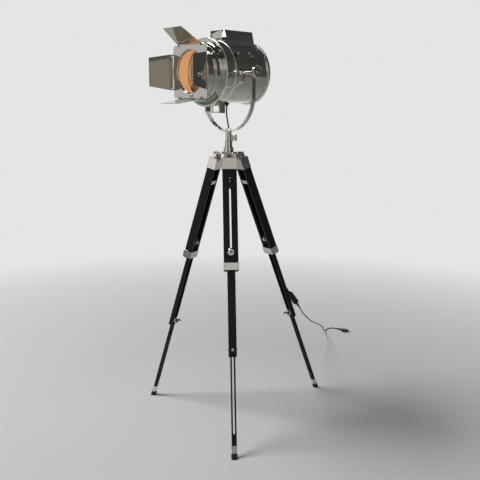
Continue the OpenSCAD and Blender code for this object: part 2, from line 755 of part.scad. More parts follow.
// Lens collar: tabs on the flange's rim, and two guide rings for the barn door's tube
module sleeve() {
    back = flange_front + rim_t;
    inner = sleeve_r - sleeve_wall;
    guide_r = tube_r + run_gap;
    color(nickel) on_head() {
        ring(sleeve_r, inner, back, sleeve_front);
        ring(inner + 1, guide_r, guide_back, guide_back + guide_t);
        ring(inner + 1, guide_r, sleeve_front - guide_t, sleeve_front);
        translate([0, 0, sleeve_front - 2 * bead_r]) rotate_extrude() translate([sleeve_r, 0]) circle(r = bead_r, $fn = 24);
        for (a = tab_angles) rotate([0, 0, a]) difference() {
            translate([inner - 2, -tab_w / 2, back]) cube([rim_in_r + 3 - inner, tab_w, 2]);
            translate([0, 0, back - 1]) cylinder(r = inner, h = 4);
        }
    }
}

// Round glass, held behind the flange's rim
module lens_glass() {
    color([0.35, 0.55, 0.4, 0.5]) on_head()
        translate([0, 0, flange_front - glass_t]) cylinder(r = glass_r, h = glass_t);
}

// Chimney box on top of the drum, open below, with slots in its back
module chimney() {
    w = chimney_wall;
    side_w = w + 0.3;
    long = chimney_front - chimney_back;
    color(nickel) on_head() difference() {
        translate([0, 0, chimney_back]) linear_extrude(long) polygon([
            [-chimney_foot_half, chimney_foot_y], [chimney_foot_half, chimney_foot_y],
            [chimney_top_half, chimney_top], [-chimney_top_half, chimney_top]]);
        translate([0, 0, chimney_back + w]) linear_extrude(long - 2 * w) polygon([
            [-chimney_foot_half + side_w, chimney_foot_y - 1], [chimney_foot_half - side_w, chimney_foot_y - 1],
            [chimney_top_half - side_w, chimney_top - w], [-chimney_top_half + side_w, chimney_top - w]]);
        translate([0, 0, chimney_back - 1]) cylinder(r = drum_r, h = long + 2);
        for (k = [-2:2]) translate([k * 13 - 3, chimney_top - 30, chimney_back - 1]) cube([6, 20, w + 2]);
    }
}

// Curved strips that stand off the drum over its vent slots
module vent_covers() {
    in_r = drum_r + vent_gap;
    color(nickel) on_head() for (m = [0, 1]) mirror([m, 0, 0]) {
        translate([0, 0, vent_back]) rotate([0, 0, vent_low]) rotate_extrude(angle = vent_high - vent_low)
            translate([in_r, 0]) square([vent_t, vent_front - vent_back]);
        difference() {
            for (p = strip_screws) around(p[1], p[0]) translate([0, 0, drum_r - 1]) cylinder(r = 3.5, h = vent_gap + 1.5);
            translate([0, 0, vent_back - 10]) cylinder(r = drum_r, h = vent_front - vent_back + 20);
        }
    }
}

// Dished reflector with a flat rim out to the drum
module reflector() {
    mouth_s = reflector_s + sqrt(pow(reflector_r, 2) - pow(reflector_mouth_r, 2));
    color([0.9, 0.6, 0.3]) on_head() {
        difference() {
            translate([0, 0, mouth_s]) sphere(r = reflector_r);
            translate([0, 0, mouth_s]) sphere(r = reflector_r - 1.5);
            translate([-200, -200, reflector_s]) cube([400, 400, 400]);
            translate([0, 0, -200]) cylinder(r = holder_r + 0.5, h = 200);
        }
        ring(drum_r - drum_wall - 0.1, reflector_mouth_r - 0.5, reflector_s, reflector_s + 1.5);
    }
}

// Lamp holder on the rear cap
module lamp_holder() {
    back = -drum_rear - cap_lid_t + cap_back_t;
    color(black) on_head() difference() {
        union() {
            translate([0, 0, back]) cylinder(r = holder_r, h = holder_front - back);
            translate([0, 0, back]) cylinder(r = holder_r + 12, h = 3);
        }
        translate([0, 0, back + 12]) cylinder(r = bulb_base_r + 0.5, h = 100);
    }
}

// Bulb with its base in the holder
module bulb() {
    base_back = -drum_rear - cap_lid_t + cap_back_t + 12;
    color([0.95, 0.9, 0.8]) on_head() {
        translate([0, 0, base_back]) cylinder(r = bulb_base_r, h = holder_front - base_back + 1);
        translate([0, 0, holder_front]) cylinder(r1 = bulb_base_r, r2 = bulb_r - 10, h = 26);
        translate([0, 0, holder_front + 47]) sphere(r = bulb_r);
    }
}

// A round screw head
module screw_head(r, h) {
    cylinder(r = r, h = h - 1);
    translate([0, 0, h - 1]) cylinder(r1 = r, r2 = r - 1, h = 1);
}

// Screws on the drum, its strips and the flange, and the chimney's small knob
module head_screws() {
    strip_out = drum_r + vent_gap + vent_t;
    cone_r = flange_back_r + (flange_front_r - flange_back_r) * (rim_screw_s - flange_back) / (flange_front - flange_back);
    color(nickel) on_head() {
        for (m = [0, 1]) mirror([m, 0, 0]) {
            for (p = strip_screws) around(p[1], p[0]) translate([0, 0, strip_out]) screw_head(screw_r, 2.5);
            for (s = low_screws) around(-54, s) translate([0, 0, drum_r]) screw_head(screw_r, 2.5);
            difference() {
                around(-6, rim_screw_s) translate([0, 0, cone_r - 1]) screw_head(screw_r, 4);
                translate([0, 0, flange_back])
                    cylinder(r1 = flange_back_r, r2 = flange_front_r, h = flange_front - flange_back);
            }
        }
        translate([0, chimney_knob_y, chimney_front]) {
            cylinder(r = 3, h = 5);
            translate([0, 0, 5]) screw_head(6, 5);
        }
    }
}

// Gland below the drum, for the lead
module head_gland() {
    color(black) on_head() difference() {
        union() {
            difference() {
                around(-90, head_gland_at) translate([0, 0, drum_r - 2]) cylinder(r = 10, h = head_gland_h - 4);
                translate([0, 0, -20]) cylinder(r = drum_r, h = 60);
            }
            around(-90, head_gland_at) translate([0, 0, drum_r - 6]) cylinder(r = cord_d / 2 + 2.9, h = head_gland_h + 6);
        }
        around(-90, head_gland_at) translate([0, 0, drum_r - 8]) cylinder(r = cord_d / 2 + 0.5, h = head_gland_h + 4);
    }
}

// Open sheet bracket below the flange
module lower_bracket() {
    w = bracket_wall;
    color(nickel) on_head() difference() {
        translate([-bracket_half, -bracket_drop, bracket_back])
            cube([2 * bracket_half, bracket_drop - 100, bracket_front - bracket_back]);
        translate([-bracket_half + w, -bracket_drop + w, bracket_back - 1])
            cube([2 * bracket_half - 2 * w, bracket_drop, bracket_front - bracket_back + 1 - w]);
        for (s = [-1, 1]) translate([s * bracket_half / 2 - bracket_half / 2 + 6, -bracket_drop + 6, bracket_front - w - 1])
            cube([bracket_half - 12, 22, w + 2]);
        flange_body();
        translate([0, 0, 0]) cylinder(r = drum_r, h = flange_start + 1);
    }
}

// ---------------------------------------------------------------- barn door

// Square with rounded corners
module rounded_square(w, r) {
    square([w - 2 * r, w], center = true);
    square([w, w - 2 * r], center = true);
    for (x = [-1, 1]) for (y = [-1, 1]) translate([x * (w / 2 - r), y * (w / 2 - r)]) circle(r = r);
}

// Square plate with its opening, the tube behind it and the hinge brackets
module barn_plate() {
    plate_back = plate_front - plate_t;
    in_r = tube_r - tube_wall;
    color(nickel) on_head() {
        difference() {
            union() {
                translate([0, 0, plate_back]) linear_extrude(plate_t) rounded_square(plate_w, plate_corner_r);
                ring(tube_r, in_r, tube_back, plate_back + 0.5);
                ring(tube_r + tube_wall, in_r, tube_back, tube_back + lip_t);
                ring(opening_r + 2, opening_r, plate_front - mouth_deep, plate_front);
                ring(opening_r + 2, opening_r - 3, plate_front - mouth_deep, plate_front - mouth_deep + 1.5);
            }
            translate([0, 0, plate_back - 1]) cylinder(r = opening_r, h = plate_t + 2);
        }
        for (k = [0:3]) rotate([0, 0, 90 * k]) for (s = [-1, 1]) difference() {
            translate([s * (hinge_half - bracket_w / 2) - bracket_w / 2, hinge_at - 9, plate_front])
                cube([bracket_w, 9 + rod_d / 2 + 1.25, hinge_fwd + rod_d / 2 + 1.25]);
            translate([0, hinge_at, hinge_z]) rotate([0, 90, 0]) cylinder(r = rod_d / 2, h = 2 * plate_w, center = true);
        }
    }
}

// The four hinge rods
module hinge_rods() {
    color(nickel) on_head() for (k = [0:3]) rotate([0, 0, 90 * k]) translate([0, hinge_at, hinge_z])
        rotate([0, 90, 0]) cylinder(r = rod_d / 2, h = 2 * hinge_half + 2, center = true);
}

// A leaf on edge k (0 top, 1 left, 2 bottom, 3 right), leaning outwards from straight ahead
module leaf(k, lean) {
    neck = curl_r + 2;
    color(nickel) on_head() rotate([0, 0, 90 * k]) translate([0, hinge_at, hinge_z]) rotate([90 - lean, 0, 0])
        difference() {
            union() {
                rotate([0, 90, 0]) cylinder(r = curl_r, h = 2 * curl_half, center = true);
                linear_extrude(leaf_t, center = true) polygon([[-curl_half, 0], [curl_half, 0], [curl_half, neck],
                    [leaf_root_half, neck], [leaf_tip_half, leaf_len], [-leaf_tip_half, leaf_len],
                    [-leaf_root_half, neck], [-curl_half, neck]]);
            }
            rotate([0, 90, 0]) cylinder(r = rod_d / 2 + run_gap, h = 2 * curl_half + 2, center = true);
        }
}

module leaf_top() { leaf(0, top_leaf_lean); }
module leaf_left() { leaf(1, side_leaf_lean); }
module leaf_bottom() { leaf(2, bottom_leaf_lean); }
module leaf_right() { leaf(3, side_leaf_lean); }

// ---------------------------------------------------------------- cords

// Lead from the drum's gland into the nipple
module head_lead() { color(black) cord_tube(head_lead_route); }

// Lead from the hub's gland along leg 2 to its last clip
module leg_lead() { color(black) cord_tube(leg_lead_route); }

// Free cord: from the last clip to the switch, and from the switch to the plug
module power_cord() {
    color(black) {
        cord_tube(cord_top_route);
        cord_tube(cord_floor_route);
    }
}

// Puts a child that lies along +z at the switch's middle, along the cord
module on_switch() {
    translate(switch_mid) rotate([0, acos(switch_way[2]), atan2(switch_way[1], switch_way[0])]) children();
}

// Switch housing with a strain relief at each end and a pocket for the rocker
module switch_body() {
    nub = (switch_span - switch_len) / 2;
    color(black) on_switch() difference() {
        union() {
            translate([-switch_w / 2, -switch_t / 2, -switch_len / 2 + 6]) cube([switch_w, switch_t, switch_len - 12]);
            translate([-switch_w / 2 + 3, -switch_t / 2 + 3, -switch_len / 2]) cube([switch_w - 6, switch_t - 6, switch_len]);
            cylinder(r = cord_d / 2 + 1.5, h = switch_len + 2 * nub, center = true);
        }
        translate([-rocker_w / 2 - 0.5, -switch_t / 2 - 1, -rocker_len / 2 - 1]) cube([rocker_w + 1, rocker_deep + 2, rocker_len + 2]);
        translate([0, -switch_t / 2 + 3, 0]) rotate([0, 90, 0]) cylinder(r = 1.5 + run_gap, h = rocker_w + 6, center = true);
    }
}

// Rocker of the switch, on its own small pin
module switch_rocker() {
    color(black) on_switch() translate([0, -switch_t / 2 + 3, 0]) {
        rotate([0, 90, 0]) cylinder(r = 1.5, h = rocker_w + 5, center = true);
        rotate([90, 0, 90]) linear_extrude(rocker_w, center = true) polygon([[-5, -rocker_len / 2 + 1],
            [-3.5, -rocker_len / 2], [0.5, -3], [2, -2], [2, 2], [0.5, 3], [-3.5, rocker_len / 2], [-5, rocker_len / 2 - 1]]);
    }
}

// Plug with two round pins, lying on the floor
module plug() {
    body = plug_len - plug_neck;
    color(black) translate(plug_at) {
        rotate([0, 90, 0]) cylinder(r1 = cord_d / 2 + 0.5, r2 = cord_d / 2 + 3, h = plug_neck + 1);
        translate([0, 0, -plug_t / 2]) linear_extrude(plug_t) polygon([[plug_neck, -plug_w / 4],
            [plug_neck + body / 4, -plug_w / 2], [plug_len, -plug_w / 2], [plug_len, plug_w / 2],
            [plug_neck + body / 4, plug_w / 2], [plug_neck, plug_w / 4]]);
        color(nickel) for (s = [-1, 1]) translate([plug_len, s * pin_gap / 2, 0]) rotate([0, 90, 0])
            cylinder(r = pin_d / 2, h = pin_len);
    }
}

// ---------------------------------------------------------------- nodes

for (i = [0:2]) {
    leg = str("leg_", i + 1, "_");
    leg_cap(i);
    leg_upper(i);
    leg_band(i);
    leg_middle(i);
    leg_lock(i);
    leg_wing(i);
    leg_lower(i);
    leg_shoe(i);
    leg_foot(i);
}
hub();
hub_collar();
thumb_screw();
pivot_bolts();
stem();
yoke();
lever_knob();
far_knob();
drum();
flange();
rear_cap();
sleeve();
lens_glass();
chimney();
vent_covers();
reflector();
lamp_holder();
bulb();
head_screws();
head_gland();
lower_bracket();
barn_plate();
hinge_rods();
leaf_top();
leaf_bottom();
leaf_left();
leaf_right();
head_lead();
leg_lead();
power_cord();
switch_body();
switch_rocker();
plug();
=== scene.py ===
"""Tripod spotlight floor lamp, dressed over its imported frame. Metres, +Z up; the head faces -Y.

Sizes are in millimetres in the code's names and become metres through MM. The head's own pieces are
measured forward from the tilt axis (s) and outward from the lens axis (r).
"""
import json
import math

import bmesh
import bpy
from mathutils import Euler, Matrix, Vector


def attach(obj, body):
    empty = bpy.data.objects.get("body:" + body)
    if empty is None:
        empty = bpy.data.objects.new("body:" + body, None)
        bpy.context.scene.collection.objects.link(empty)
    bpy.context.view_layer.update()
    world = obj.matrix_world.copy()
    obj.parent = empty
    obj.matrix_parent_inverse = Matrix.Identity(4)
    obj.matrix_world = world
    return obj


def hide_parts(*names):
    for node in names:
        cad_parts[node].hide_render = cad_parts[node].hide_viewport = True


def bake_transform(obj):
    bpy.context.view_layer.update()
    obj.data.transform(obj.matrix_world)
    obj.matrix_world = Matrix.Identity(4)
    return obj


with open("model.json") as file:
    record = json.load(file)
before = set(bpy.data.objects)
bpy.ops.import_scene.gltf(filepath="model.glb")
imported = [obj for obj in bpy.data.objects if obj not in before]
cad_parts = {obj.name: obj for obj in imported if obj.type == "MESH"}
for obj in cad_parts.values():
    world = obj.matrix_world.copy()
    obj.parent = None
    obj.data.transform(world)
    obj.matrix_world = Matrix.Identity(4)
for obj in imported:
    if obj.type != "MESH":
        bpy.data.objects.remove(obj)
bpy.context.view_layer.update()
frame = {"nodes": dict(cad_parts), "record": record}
NODES = frame["nodes"]
BODY_OF = {node: body for body, nodes in frame["record"]["behaviour"]["bodies"].items() for node in nodes}
MM = 0.001

# ------------------------------------------------------------------ sizes
# Head: s is ahead of the tilt axis, r is out from the lens axis
TILT_Z = 1474.5
CLEAR_GLASS_R = 108.5
RING_PLATE_S = 129.6
PLATE_S = 203
HEAD_KNOB_X = 171.35
# Chimney: heights above the lens axis; each side leans in by so much over the chimney's height
CHIMNEY_HALF_W = 56
CHIMNEY_LEAN_IN = 16
CHIMNEY_FOOT = 100
CHIMNEY_H = 65.5
CHIMNEY_KNOB = 132
# Legs: turns about the stem, reach of each foot from it, and stations down a leg from its pivot
LEG_TURNS = (-40, 80, 200)
FOOT_REACH = (439, 505, 412)
PIVOT_R = 56
PIVOT_H = 1133
LEG_LEAN = [math.degrees(math.atan((reach - PIVOT_R) / PIVOT_H)) for reach in FOOT_REACH]
CAP_SCREW_AT = 38
LOCK_AT = 390
LOCK_FACE_X = 27.5
BAND_AT = 447
BAND_H = 28
BAND_HALF_W = 30.75
# Cord: its thickness, and the points of its smooth line to each of the route's
CORD_D = 6
LINE_STEPS = 4
# Looks: the room's pale tone, and the angle in degrees from which an edge counts as sharp
PALE = 0.78
SHARP = 40


# ------------------------------------------------------------------ camera
def set_camera():
    """The photograph's view: a little under three metres away, on the lever's side, lens tipped down."""
    data = bpy.data.cameras.new("photo_view")
    data.sensor_width = 36
    data.lens = 51.75
    camera = bpy.data.objects.new("photo_view", data)
    camera.location = (2.138, -1.960, 1.3355)
    camera.rotation_euler = Euler((math.radians(79.17), 0, math.radians(46.55)))
    bpy.context.scene.collection.objects.link(camera)
    bpy.context.scene.camera = camera


# ------------------------------------------------------------------ shader expressions
class Value:
    """A socket of a material; adding to it or multiplying it adds a Math node."""

    def __init__(self, paint, socket):
        self.paint = paint
        self.socket = socket

    def __add__(self, other):
        return self.paint.node("ShaderNodeMath", {"operation": "ADD"}, {0: self, 1: other})

    def __mul__(self, other):
        return self.paint.node("ShaderNodeMath", {"operation": "MULTIPLY"}, {0: self, 1: other})


class Paint:
    """A material whose nodes are made one call at a time."""

    def __init__(self, name, **fixed):
        self.material = bpy.data.materials.new(name)
        self.material.use_nodes = True
        self.tree = self.material.node_tree
        self.shader = self.tree.nodes["Principled BSDF"]
        for socket, value in fixed.items():
            self.shader.inputs[socket.replace("_", " ")].default_value = value

    def node(self, kind, settings=None, inputs=None, out=0):
        """Adds a node, sets its settings, then its inputs, and returns one output."""
        made = self.tree.nodes.new(kind)
        for key, value in (settings or {}).items():
            setattr(made, key, value)
        for key, value in (inputs or {}).items():
            self.feed(made.inputs[key], value)
        return Value(self, made.outputs[out])

    def feed(self, socket, value):
        """Links a Value to an input, or sets the input to a constant."""
        if isinstance(value, Value):
            self.tree.links.new(value.socket, socket)
        else:
            socket.default_value = value

    def set(self, name, value):
        """Feeds one input of the surface."""
        self.feed(self.shader.inputs[name], value)

    def place(self, scale=(1, 1, 1), turn=(0, 0, 0)):
        """Object coordinates, stretched and turned."""
        raw = self.node("ShaderNodeTexCoord", out="Object")
        return self.node("ShaderNodeMapping", {}, {"Vector": raw, "Scale": scale, "Rotation": turn})

    def noise(self, size, detail=3, rough=0.5, **how):
        """Smooth noise from 0 to 1."""
        inputs = {"Vector": self.place(**how), "Scale": size, "Detail": detail, "Roughness": rough}
        return self.node("ShaderNodeTexNoise", {}, inputs)

    def band(self, value, low, high, to_low=0.0, to_high=1.0):
        """Maps a value's stretch to another, held at the ends."""
        inputs = {"Value": value, "From Min": low, "From Max": high, "To Min": to_low, "To Max": to_high}
        return self.node("ShaderNodeMapRange", {"clamp": True}, inputs)

    def blend(self, factor, first, second):
        """Mixes two colours."""
        mixed = self.tree.nodes.new("ShaderNodeMix")
        mixed.data_type = "RGBA"
        colours = [s for s in mixed.inputs if s.type == "RGBA"]
        self.feed(mixed.inputs[0], factor)
        self.feed(colours[0], (*first, 1))
        self.feed(colours[1], (*second, 1))
        return Value(self, next(s for s in mixed.outputs if s.type == "RGBA"))

    def relief(self, height):
        """Feeds a height in millimetres to the surface's normal."""
        bump = self.node("ShaderNodeBump", {}, {"Height": height, "Distance": MM, "Strength": 1.0})
        self.set("Normal", bump)


# ------------------------------------------------------------------ materials
def polished_nickel(name, tone, waviness, dullness):
    """Bright nickel plate: faint ripples of the sheet under it, hand polish marks and a thin haze."""
    paint = Paint(name, Metallic=1.0)
    haze = paint.noise(9, detail=4)
    marks = paint.noise(60, detail=5, rough=0.7, scale=(1, 1, 6))
    fine = paint.noise(900, detail=2)
    ripples = paint.noise(7, detail=1.5)
    warm = tuple(c * k for c, k in zip(tone, (1.0, 0.975, 0.93)))
    paint.set("Base Color", paint.blend(paint.band(haze, 0.35, 0.7), tone, warm))
    thin_haze = paint.band(haze, 0.3, 0.75, dullness, dullness + 0.05)
    paint.set("Roughness", thin_haze + paint.band(marks, 0.55, 0.8, 0, 0.06))
    paint.relief(ripples * waviness + marks * 0.02 + fine * 0.004)
    return paint.material


def black_wood(name, turn, lean):
    """Black stained hardwood under satin lacquer; the grain runs down the leg."""
    paint = Paint(name)
    turned = (0, math.radians(lean), -math.radians(turn))
    grain = paint.noise(1, detail=6, rough=0.65, scale=(420, 420, 14), turn=turned)
    pores = paint.noise(1, detail=3, rough=0.6, scale=(1600, 1600, 60), turn=turned)
    wear = paint.noise(22, detail=4)
    streak = paint.band(grain, 0.35, 0.7)
    paint.set("Base Color", paint.blend(streak, (0.0045, 0.0045, 0.005), (0.014, 0.0135, 0.0135)))
    paint.set("Roughness", paint.band(wear, 0.3, 0.7, 0.40, 0.52) + paint.band(pores, 0.5, 0.8, 0, 0.12))
    paint.set("Specular IOR Level", 0.28)
    paint.relief(grain * 0.10 + paint.band(pores, 0.5, 0.75) * -0.06)
    return paint.material


def black_rubber(name):
    """Matt rubber with moulding grain and dust in its pores."""
    paint = Paint(name)
    grain = paint.noise(1400, detail=3)
    dust = paint.noise(45, detail=4)
    paint.set("Base Color", paint.blend(paint.band(dust, 0.55, 0.8), (0.012, 0.012, 0.012), (0.045, 0.043, 0.04)))
    paint.set("Roughness", paint.band(grain, 0.3, 0.7, 0.62, 0.8))
    paint.relief(grain * 0.06)
    return paint.material


def black_plastic(name):
    """Moulded plastic with a fine spark grain."""
    paint = Paint(name)
    grain = paint.noise(2200, detail=2)
    paint.set("Base Color", (0.014, 0.014, 0.015, 1))
    paint.set("Roughness", paint.band(grain, 0.3, 0.7, 0.36, 0.5))
    paint.relief(grain * 0.03)
    return paint.material


def cord_jacket(name):
    """Smooth extruded jacket with faint rub marks."""
    paint = Paint(name)
    rub = paint.noise(120, detail=4)
    paint.set("Base Color", paint.blend(paint.band(rub, 0.5, 0.8), (0.010, 0.010, 0.010), (0.03, 0.03, 0.03)))
    paint.set("Roughness", paint.band(rub, 0.3, 0.8, 0.38, 0.55))
    paint.relief(rub * 0.05)
    return paint.material


def heat_glass(name, tint, deep, clear):
    """Rolled heat glass with faint ripples; its rim looks green where the light runs along the sheet."""
    paint = Paint(name, Transmission_Weight=clear, IOR=1.5)
    ripple = paint.noise(30, detail=2)
    paint.set("Base Color", paint.blend(paint.band(ripple, 0.3, 0.7), deep, tint))
    paint.set("Roughness", paint.band(ripple, 0.3, 0.7, 0.02, 0.06))
    paint.relief(ripple * 0.05)
    return paint.material


def warm_metal(name):
    """Warm satin lining, streaked by spinning; its faint glow is painted light."""
    paint = Paint(name, Metallic=0.35)
    streaks = paint.noise(60, detail=4, scale=(1, 8, 1))
    paint.set("Base Color", paint.blend(paint.band(streaks, 0.3, 0.7), (0.86, 0.50, 0.25), (0.95, 0.62, 0.34)))
    paint.set("Roughness", paint.band(streaks, 0.3, 0.7, 0.3, 0.42))
    # Painted light: a faint glow that brightens the lining as if a lamp shone into it.
    paint.set("Emission Color", (0.95, 0.55, 0.30, 1))
    paint.set("Emission Strength", 0.34)
    paint.relief(streaks * 0.04)
    return paint.material


def pearl_glass(name):
    """Frosted bulb, a little warm."""
    paint = Paint(name, Transmission_Weight=0.2)
    frost = paint.noise(400, detail=3)
    paint.set("Base Color", paint.blend(paint.band(frost, 0.3, 0.7), (0.95, 0.86, 0.68), (1.0, 0.93, 0.78)))
    paint.set("Roughness", paint.band(frost, 0.3, 0.7, 0.35, 0.5))
    paint.set("Emission Color", (1.0, 0.75, 0.45, 1))
    paint.set("Emission Strength", 0.4)
    return paint.material


SHEET = polished_nickel("polished_sheet", (0.66, 0.645, 0.62), 0.35, 0.045)
CAST = polished_nickel("polished_fittings", (0.68, 0.65, 0.595), 0.12, 0.09)
# A lighter tone than the sheet paints a highlight along the rolled beads; its higher roughness is a rubbed finish.
RUBBED_PAINTED_HIGHLIGHT = polished_nickel("rubbed_edge_painted_highlight", (0.86, 0.845, 0.81), 0.1, 0.26)
LEAF = polished_nickel("polished_leaf", (0.57, 0.54, 0.48), 0.6, 0.07)
WOODS = [black_wood(f"black_wood_{i + 1}", LEG_TURNS[i], LEG_LEAN[i]) for i in range(3)]
RUBBER = black_rubber("foot_rubber")
PLASTIC = black_plastic("black_plastic")
JACKET = cord_jacket("cord_jacket")
GLASS = heat_glass("heat_glass", (0.97, 0.98, 0.96), (0.92, 0.95, 0.91), 1.0)
GLASS_RIM = heat_glass("heat_glass_rim", (0.36, 0.60, 0.34), (0.22, 0.44, 0.22), 0.55)
WARM = warm_metal("warm_lining_painted_glow")
PEARL = pearl_glass("bulb_pearl")


# ------------------------------------------------------------------ mesh helpers
def add_object(name, mesh, material=None):
    """A mesh as an object of the scene, with one material."""
    piece = bpy.data.objects.new(name, mesh)
    bpy.context.scene.collection.objects.link(piece)
    if material:
        mesh.materials.clear()
        mesh.materials.append(material)
    return piece


def crease(bm, degrees=32):
    """Smooth shading, with sharp edges where faces meet at more than the angle."""
    limit = math.radians(degrees)
    for face in bm.faces:
        face.smooth = True
    for edge in bm.edges:
        edge.smooth = len(edge.link_faces) != 2 or edge.calc_face_angle(0) < limit


def from_bmesh(name, bm, material, degrees=32):
    """An object from a bmesh, which is used up."""
    crease(bm, degrees)
    mesh = bpy.data.meshes.new(name)
    bm.to_mesh(mesh)
    bm.free()
    return add_object(name, mesh, material)


def open_mesh(mesh):
    """A bmesh with a mesh's content."""
    bm = bmesh.new()
    bm.from_mesh(mesh)
    return bm


def write_back(piece, bm):
    """Gives a piece the content of a bmesh, which is used up."""
    crease(bm, SHARP)
    bm.to_mesh(piece.data)
    bm.free()


def circle(count):
    """Cosine and sine of evenly spaced turns."""
    return [(math.cos(math.tau * k / count), math.sin(math.tau * k / count)) for k in range(count)]


def skin(bm, rows):
    """Faces between neighbouring rings of vertices; a ring may be a single vertex."""
    made = []
    for here, there in zip(rows, rows[1:]):
        steps = max(len(here), len(there))
        for k in range(steps if steps > 1 else 0):
            n = (k + 1) % steps
            corners = [here[k % len(here)], here[n % len(here)], there[n % len(there)], there[k % len(there)]]
            made.append(bm.faces.new(list(dict.fromkeys(corners))))
    return made


def add_prism(bm, front, back):
    """A solid between two outlines that have the same number of corners."""
    rows = [[bm.verts.new(point) for point in outline] for outline in (front, back)]
    made = [bm.faces.new(rows[0]), bm.faces.new(rows[1])] + skin(bm, rows)
    bmesh.ops.recalc_face_normals(bm, faces=made)


def clean_copy(node):
    """A bmesh of a CAD node without doubled points and needless edges."""
    bm = open_mesh(NODES[node].data)
    bmesh.ops.remove_doubles(bm, verts=bm.verts, dist=1e-6)
    bmesh.ops.dissolve_limit(bm, angle_limit=math.radians(0.4), verts=bm.verts, edges=bm.edges)
    return bm


def soften(piece, width):
    """Rounded edges."""
    bevel = piece.modifiers.new("rounded_edges", "BEVEL")
    bevel.width = width * MM
    bevel.segments = 2
    bevel.limit_method = "ANGLE"
    bevel.angle_limit = math.radians(SHARP)
    bevel.use_clamp_overlap = False
    bevel.harden_normals = False
    bevel.miter_outer = "MITER_ARC"


def dressed(node, material, round_edge):
    """A finished copy of a CAD node: clean faces, rounded edges and a material."""
    piece = from_bmesh(node + "_finished", clean_copy(node), material)
    if round_edge:
        soften(piece, round_edge)
    stand_for(piece, node)
    return piece


def stand_for(piece, node):
    """The piece rides with the node's body and is shown in its place."""
    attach(piece, BODY_OF[node])
    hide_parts(node)


def bevel_edges(bm, width):
    """Rounds a mesh's sharp edges in place."""
    sharp = [e for e in bm.edges if len(e.link_faces) == 2 and e.calc_face_angle(0) > math.radians(SHARP)]
    bmesh.ops.bevel(bm, geom=sharp, offset=width * MM, segments=2, profile=0.5, affect="EDGES", clamp_overlap=True)


def ride_new(piece, body):
    """A piece that the CAD doesn't have: it rides on a body."""
    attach(piece, body)
    return piece


def turned_on(name, centre, axis, section, material, steps=64):
    """A closed section of (height, radius) points turned about an axis through a centre, in millimetres."""
    up = Vector(axis).normalized()
    side = up.orthogonal().normalized()
    other = up.cross(side)
    bm = bmesh.new()
    rows = []
    for h, r in section:
        middle = Vector(centre) + up * h
        turns = circle(steps if r > 0 else 1)
        rows.append([bm.verts.new((middle + (side * c + other * s) * r) * MM) for c, s in turns])
    skin(bm, rows)
    for row in (rows[0], rows[-1]):
        if len(row) > 1:
            bm.faces.new(row)
    bmesh.ops.recalc_face_normals(bm, faces=bm.faces)
    return from_bmesh(name, bm, material, SHARP)


# ------------------------------------------------------------------ cords
CORD_ROUTE = [(3, 217, 735), (4, 225, 716), (6, 236, 692), (8, 250, 666), (10, 265, 640), (14, 289, 600),
    (18, 314, 560), (20, 335, 524), (22, 352, 497), (22, 358, 487), (33, 405, 426), (35, 414, 414),
    (33, 424, 404), (24, 440, 392), (8, 463, 378), (-14, 494, 359), (-31, 520, 343), (-62, 571, 314),
    (-95, 626, 283), (-132, 686, 251), (-171, 750, 218), (-211, 822, 185), (-252, 897, 153), (-284, 960, 122),
    (-314, 1021, 88), (-346, 1066, 60), (-373, 1104, 38), (-396, 1138, 22), (-416, 1168, 11), (-432, 1198, 5),
    (-440, 1222, 3), (-437, 1246, 3), (-420, 1260, 4), (-398, 1264, 6), (-384, 1263, 7), (-372, 1262, 7.5)]
LEG_LEAD_ROUTE = [(-33, 41, 1141), (-34, 43, 1125), (-34, 52, 1108), (-31, 66, 1092), (-26, 78, 1077),
    (-20, 87, 1065), (-16, 108, 1012), (-10, 145, 919), (-3, 185, 817), (3, 216.5, 736.5)]
HEAD_LEAD_ROUTE = [(0, -10, 1343), (0, -11, 1325), (0, -10, 1305), (0, -6, 1285), (0, -2, 1268), (0, 0, 1256),
    (0, 0, 1250)]


def smooth_line(points, steps):
    """Points on a smooth curve through the route's own points."""
    p = [Vector(q) * MM for q in points]
    line = []
    for i in range(len(p) - 1):
        a, b, c, d = p[max(i - 1, 0)], p[i], p[i + 1], p[min(i + 2, len(p) - 1)]
        for k in range(steps):
            t = k / steps
            line.append(0.5 * (2 * b + t * (c - a) + t * t * (2 * a - 5 * b + 4 * c - d)
                + t ** 3 * (3 * b - 3 * c + d - a)))
    line.append(p[-1])
    return line


def cord_mesh(name, points):
    """A round cord as a mesh, made from a curve with one open spline."""
    line = smooth_line(points, LINE_STEPS)
    curve = bpy.data.curves.new(name + "_line", "CURVE")
    curve.dimensions = "3D"
    curve.bevel_depth = CORD_D / 2 * MM
    curve.bevel_resolution = 6
    curve.use_fill_caps = True
    spline = curve.splines.new("POLY")
    spline.points.add(len(line) - 1)
    for point, place in zip(spline.points, line):
        point.co = (*place, 1)
    spline.use_smooth = True
    curve_piece = bpy.data.objects.new(name + "_line", curve)
    bpy.context.scene.collection.objects.link(curve_piece)
    curve.materials.append(JACKET)
    depsgraph = bpy.context.evaluated_depsgraph_get()
    mesh = bpy.data.meshes.new_from_object(curve_piece.evaluated_get(depsgraph))
    bpy.data.objects.remove(curve_piece)
    return add_object(name, mesh, JACKET)


def make_cords():
    """The leads; the free cord leaves a leg at its upper end."""
    flex = cord_mesh("power_flex", CORD_ROUTE)
    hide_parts("power_cord")
    path = smooth_line(CORD_ROUTE, LINE_STEPS)
    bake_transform(flex)
    lead = cord_mesh("leg_lead_flex", LEG_LEAD_ROUTE)
    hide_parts("leg_lead")
    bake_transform(lead)
    drop = cord_mesh("head_lead_flex", HEAD_LEAD_ROUTE)
    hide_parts("head_lead")
    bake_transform(drop)
    return flex, path


# ------------------------------------------------------------------ turned and spun pieces of the head
def head_point(s, r, turn):
    """A point s ahead of the tilt axis and r out from the lens axis; turn 0 is +X and 90 is up."""
    a = math.radians(turn)
    return Vector((r * math.cos(a), -s, TILT_Z + r * math.sin(a))) * MM


